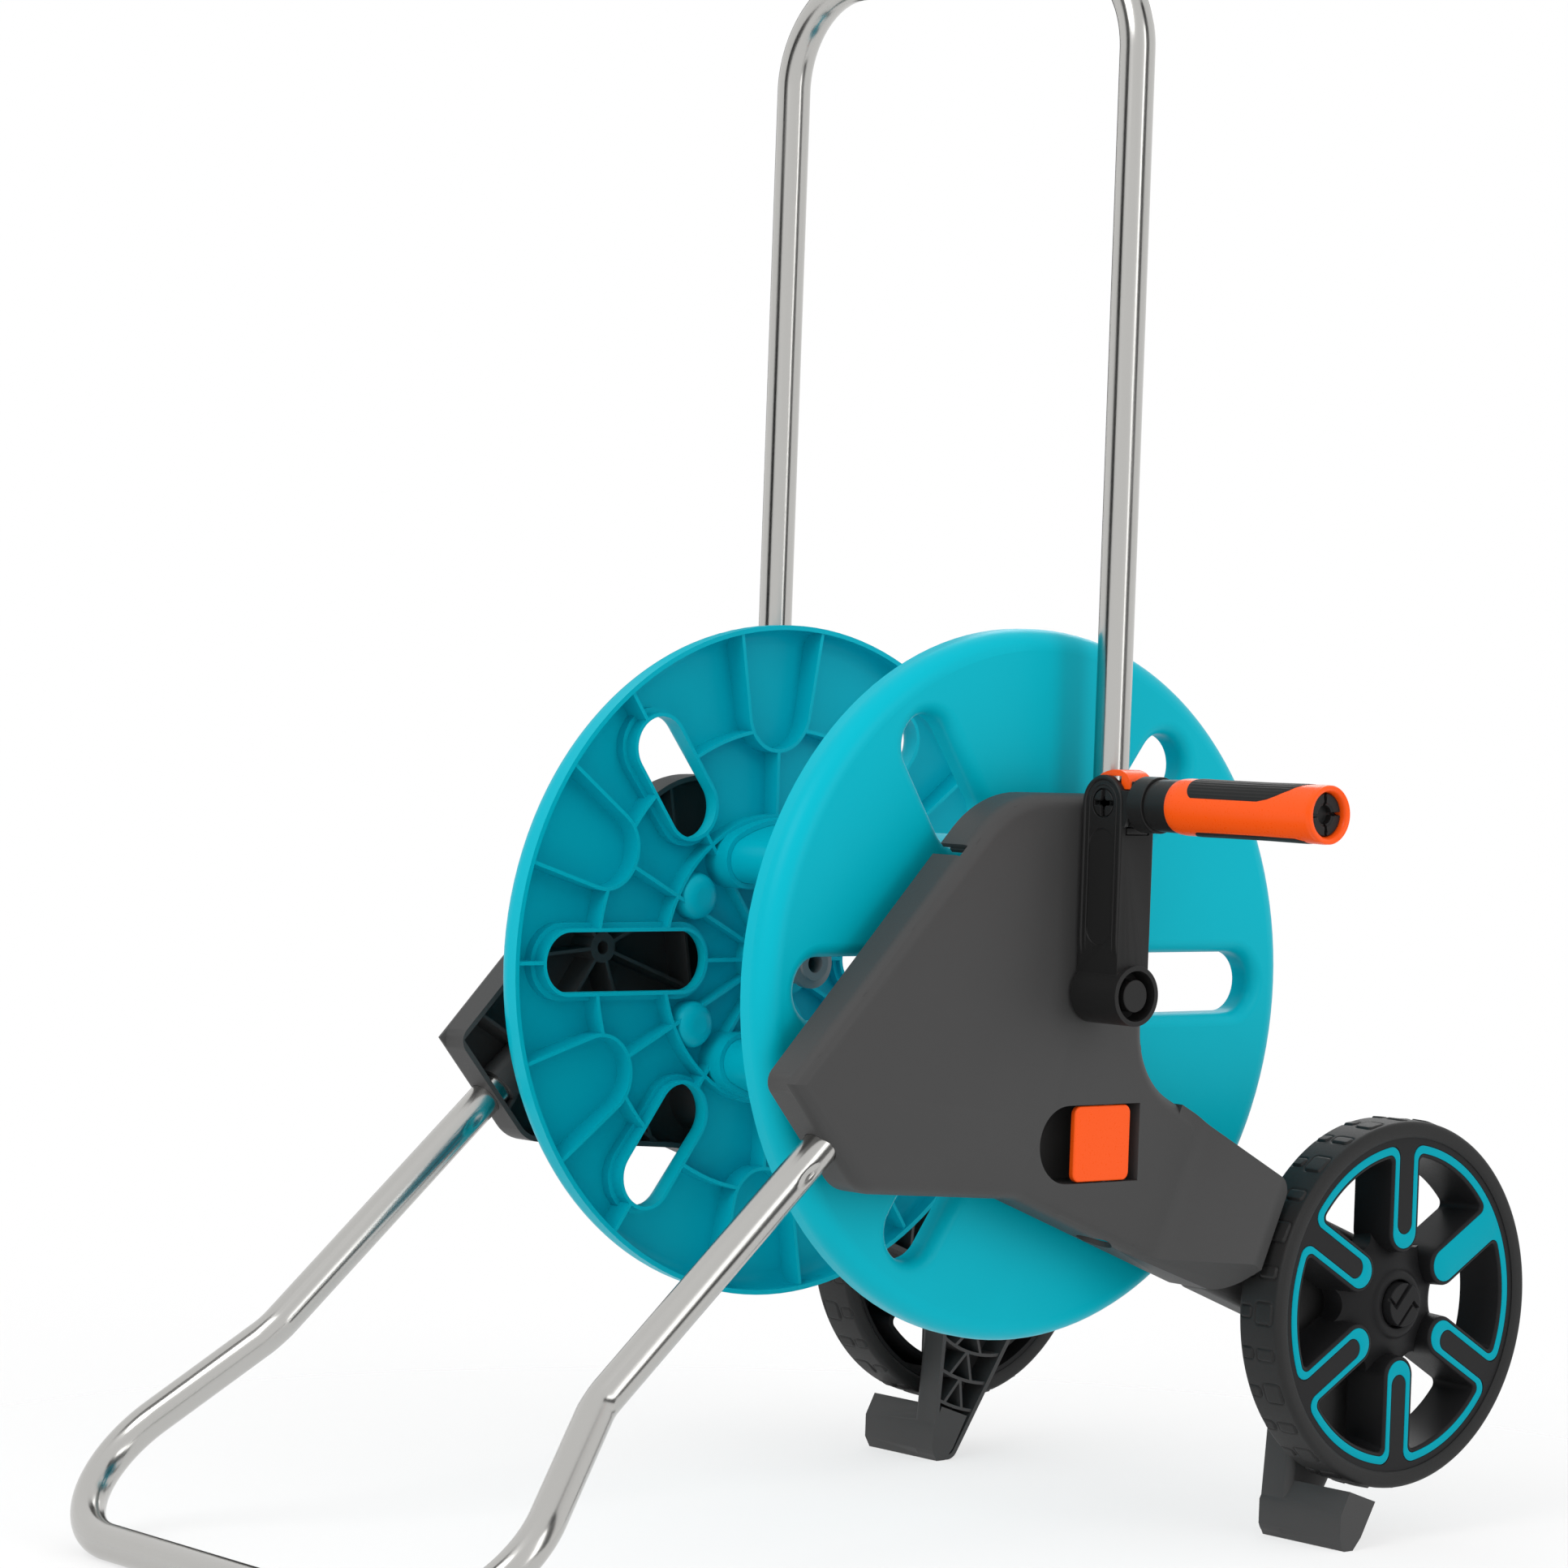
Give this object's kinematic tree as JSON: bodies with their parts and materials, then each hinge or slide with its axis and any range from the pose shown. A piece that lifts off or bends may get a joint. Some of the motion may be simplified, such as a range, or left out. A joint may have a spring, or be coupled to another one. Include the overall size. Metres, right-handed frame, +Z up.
{
  "type": "garden hose reel cart",
  "caption": "Wheeled garden hose reel cart with a ribbed drum, folding crank, bent tube stand, toed feet and a telescoping U-shaped push handle.",
  "frame": {"origin": "centre of the bounding box at floor level", "axes": "+Z up, +X towards the crank, -Y towards the tube stand"},
  "size_m": [0.5412, 0.7866, 0.915],
  "materials": {
    "teal": "satin moulded",
    "panel_grey": "fine texture",
    "black": "satin moulded",
    "orange": "satin",
    "aluminium": "polished",
    "tyre": "moulded",
    "steel": "zinc plated",
    "rubber": "moulded",
    "grey": "satin moulded",
    "bush": "satin moulded"
  },
  "bodies": {
    "frame": {"side_panel_right": "panel_grey", "side_panel_left": "panel_grey", "bearing_bush_right": "bush", "bearing_bush_left": "bush", "inlet_elbow": "grey", "stand_tube": "aluminium", "wheel_axle_right": "steel", "wheel_axle_left": "steel", "wheel_cap_right": "black", "wheel_cap_left": "black"},
    "reel": {"drum_flange_right": "teal", "drum_flange_left": "teal", "drum_core_upper": "teal", "drum_core_lower": "teal", "drum_axle_right": "grey", "drum_spindle_left": "grey", "spindle_seals": "rubber", "hose_nipple": "grey", "crank_arm": "black", "crank_screw": "steel", "crank_cap": "black", "hinge_pin": "black"},
    "neck": {"crank_neck": "black", "grip_clip": "black"},
    "button": {"release_button": "orange"},
    "grip": {"grip_core": "black", "grip_sleeve": "orange", "grip_pads": "rubber"},
    "handle": {"handle_tube": "aluminium", "handle_plugs": "black"},
    "latch_r": {"latch_right": "orange"},
    "latch_l": {"latch_left": "orange"},
    "wheel_r": {"wheel_rim_right": "black", "wheel_tyre_right": "tyre", "wheel_inlay_right": "teal"},
    "wheel_l": {"wheel_rim_left": "black", "wheel_tyre_left": "tyre", "wheel_inlay_left": "teal"}
  },
  "joints": [
    {"name": "reel_spin", "type": "hinge", "parent": "frame", "child": "reel", "pos_m": [-0.06565, 0.0593, 0.321], "axis": [1, 0, 0], "continuous": true},
    {"name": "grip_fold", "type": "hinge", "parent": "reel", "child": "neck", "pos_m": [0.11335, 0.0593, 0.426], "axis": [0, -1, 0], "range_deg": [0, 90]},
    {"name": "grip_spin", "type": "hinge", "parent": "neck", "child": "grip", "pos_m": [0.18435, 0.0593, 0.426], "axis": [1, 0, 0], "continuous": true},
    {"name": "button_press", "type": "slide", "parent": "neck", "child": "button", "axis": [0, 0, -1], "range_m": [0, 0.0024], "stiffness_N_per_m": 400, "springref_m": -0.003},
    {"name": "handle_slide", "type": "slide", "parent": "frame", "child": "handle", "axis": [0, 0, -1], "range_m": [0, 0.19]},
    {"name": "latch_right_slide", "type": "slide", "parent": "frame", "child": "latch_r", "axis": [0, 1, 0], "range_m": [0, 0.006], "stiffness_N_per_m": 300, "springref_m": -0.004},
    {"name": "latch_left_slide", "type": "slide", "parent": "frame", "child": "latch_l", "axis": [0, 1, 0], "range_m": [0, 0.006], "stiffness_N_per_m": 300, "springref_m": -0.004},
    {"name": "wheel_right_spin", "type": "hinge", "parent": "frame", "child": "wheel_r", "pos_m": [0.11935, 0.2853, 0.1385], "axis": [1, 0, 0], "continuous": true},
    {"name": "wheel_left_spin", "type": "hinge", "parent": "frame", "child": "wheel_l", "pos_m": [-0.25065, 0.2853, 0.1385], "axis": [1, 0, 0], "continuous": true}
  ]
}
